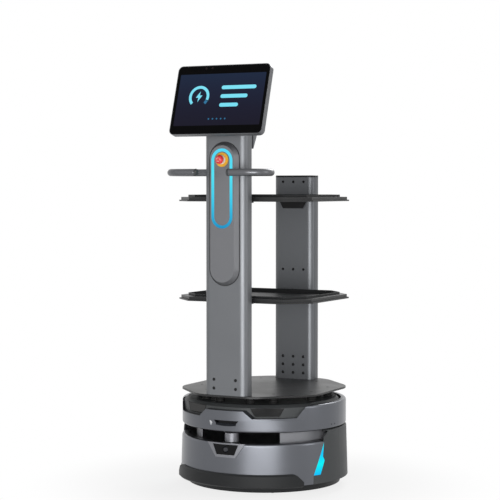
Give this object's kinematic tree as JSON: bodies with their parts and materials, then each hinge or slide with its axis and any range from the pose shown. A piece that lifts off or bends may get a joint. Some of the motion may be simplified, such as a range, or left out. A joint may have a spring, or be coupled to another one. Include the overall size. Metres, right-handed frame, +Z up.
{
  "type": "delivery robot",
  "caption": "Wheeled delivery robot: round base with sprung drive wheels and casters, deck, columns carrying shelf trays, leaning display, push handle and emergency stop.",
  "frame": {"origin": "on the floor, under the middle of the overall box; the base's turning axis is 45 mm behind it", "axes": "+Z up, front with the display towards -Y, +X to the right of someone who faces the display; right and left in names are that person's"},
  "size_m": [0.536, 0.626, 1.322],
  "materials": {
    "shell_paint": "metallic satin paint",
    "cover_paint": "satin",
    "column_paint": "satin paint",
    "pod_paint": "satin",
    "black_metal": "fine texture paint",
    "handle_paint": "satin",
    "black_plastic": "moulded",
    "window_black": "polished",
    "window_grey": "polished",
    "display_glass": "polished",
    "lens_glass": "polished",
    "display_metal": "brushed",
    "light": "diffuse lit",
    "stop_red": "polished",
    "stop_yellow": "satin",
    "steel": "turned",
    "aluminium": "machined",
    "tyre": "moulded",
    "caster_rubber": "moulded",
    "battery_plastic": "moulded"
  },
  "bodies": {
    "chassis": {"lower_shell": "shell_paint", "upper_shell": "shell_paint", "rear_cover": "cover_paint", "front_column": "column_paint", "rear_column": "column_paint", "display_neck": "column_paint", "pod": "pod_paint", "deck_plate": "black_metal", "lower_shelf_carrier": "black_metal", "upper_shelf_carrier": "black_metal", "shelf_brackets": "black_metal", "chassis_plate": "black_metal", "handle": "handle_paint", "chassis_tray": "black_plastic", "front_bumper": "black_plastic", "lidar_bay": "black_plastic", "top_cover": "black_plastic", "camera_bezel": "black_plastic", "rear_cap": "black_plastic", "stop_collar": "black_plastic", "lidar_base": "black_plastic", "lower_shelf_tray": "black_plastic", "upper_shelf_tray": "black_plastic", "camera_window": "window_black", "slot_sensor": "window_black", "notch_windows": "window_grey", "display_glass": "display_glass", "camera_lens": "lens_glass", "display_shell": "display_metal", "light_ring": "light", "side_lights": "light", "stop_disc": "stop_yellow", "arm_pins": "steel", "arm_spring_right": "steel", "arm_spring_left": "steel", "caster_housings": "steel", "deck_spacers": "aluminium", "drive_brackets": "aluminium", "column_feet": "aluminium", "controller": "aluminium", "battery": "battery_plastic"},
    "arm_right": {"swing_arm_right": "aluminium", "drive_axle_right": "steel"},
    "drive_wheel_right": {"wheel_hub_right": "aluminium", "tyre_right": "tyre"},
    "arm_left": {"swing_arm_left": "aluminium", "drive_axle_left": "steel"},
    "drive_wheel_left": {"wheel_hub_left": "aluminium", "tyre_left": "tyre"},
    "caster_front_right": {"caster_fork_front_right": "steel"},
    "caster_wheel_front_right": {"caster_wheel_front_right": "caster_rubber"},
    "caster_front_left": {"caster_fork_front_left": "steel"},
    "caster_wheel_front_left": {"caster_wheel_front_left": "caster_rubber"},
    "caster_rear_right": {"caster_fork_rear_right": "steel"},
    "caster_wheel_rear_right": {"caster_wheel_rear_right": "caster_rubber"},
    "caster_rear_left": {"caster_fork_rear_left": "steel"},
    "caster_wheel_rear_left": {"caster_wheel_rear_left": "caster_rubber"},
    "lidar": {"lidar_head": "window_black"},
    "stop_plunger": {"stop_stem": "steel"},
    "stop_button": {"stop_head": "stop_red"}
  },
  "joints": [
    {"name": "arm_right_swing", "type": "hinge", "parent": "chassis", "child": "arm_right", "pos_m": [0.121, 0.153, 0.095], "axis": [1, 0, 0], "range_deg": [-5, 4], "stiffness_Nm_per_rad": 60, "springref_deg": 5.73, "deforming": ["arm_spring_right"]},
    {"name": "drive_wheel_right_spin", "type": "hinge", "parent": "arm_right", "child": "drive_wheel_right", "pos_m": [0.168, 0.045, 0.07], "axis": [1, 0, 0], "continuous": true},
    {"name": "arm_left_swing", "type": "hinge", "parent": "chassis", "child": "arm_left", "pos_m": [-0.121, 0.153, 0.095], "axis": [1, 0, 0], "range_deg": [-5, 4], "stiffness_Nm_per_rad": 60, "springref_deg": 5.73, "deforming": ["arm_spring_left"]},
    {"name": "drive_wheel_left_spin", "type": "hinge", "parent": "arm_left", "child": "drive_wheel_left", "pos_m": [-0.168, 0.045, 0.07], "axis": [1, 0, 0], "continuous": true},
    {"name": "caster_front_right_swivel", "type": "hinge", "parent": "chassis", "child": "caster_front_right", "pos_m": [0.098, -0.11191, 0.05], "axis": [0, 0, 1], "continuous": true},
    {"name": "caster_wheel_front_right_spin", "type": "hinge", "parent": "caster_front_right", "child": "caster_wheel_front_right", "pos_m": [0.098, -0.09591, 0.022], "axis": [1, 0, 0], "continuous": true},
    {"name": "caster_front_left_swivel", "type": "hinge", "parent": "chassis", "child": "caster_front_left", "pos_m": [-0.098, -0.11191, 0.05], "axis": [0, 0, 1], "continuous": true},
    {"name": "caster_wheel_front_left_spin", "type": "hinge", "parent": "caster_front_left", "child": "caster_wheel_front_left", "pos_m": [-0.098, -0.09591, 0.022], "axis": [1, 0, 0], "continuous": true},
    {"name": "caster_rear_right_swivel", "type": "hinge", "parent": "chassis", "child": "caster_rear_right", "pos_m": [0.098, 0.20191, 0.05], "axis": [0, 0, 1], "continuous": true},
    {"name": "caster_wheel_rear_right_spin", "type": "hinge", "parent": "caster_rear_right", "child": "caster_wheel_rear_right", "pos_m": [0.098, 0.21791, 0.022], "axis": [1, 0, 0], "continuous": true},
    {"name": "caster_rear_left_swivel", "type": "hinge", "parent": "chassis", "child": "caster_rear_left", "pos_m": [-0.098, 0.20191, 0.05], "axis": [0, 0, 1], "continuous": true},
    {"name": "caster_wheel_rear_left_spin", "type": "hinge", "parent": "caster_rear_left", "child": "caster_wheel_rear_left", "pos_m": [-0.098, 0.21791, 0.022], "axis": [1, 0, 0], "continuous": true},
    {"name": "lidar_spin", "type": "hinge", "parent": "chassis", "child": "lidar", "pos_m": [0, -0.175, 0.18], "axis": [0, 0, 1], "continuous": true},
    {"name": "stop_press", "type": "slide", "parent": "chassis", "child": "stop_plunger", "axis": [0, 1, 0], "range_m": [0, 0.004], "stiffness_N_per_m": 800},
    {"name": "stop_twist", "type": "hinge", "parent": "stop_plunger", "child": "stop_button", "pos_m": [0, -0.25, 1.034], "axis": [0, -1, 0], "range_deg": [0, 45], "stiffness_Nm_per_rad": 0.05}
  ]
}
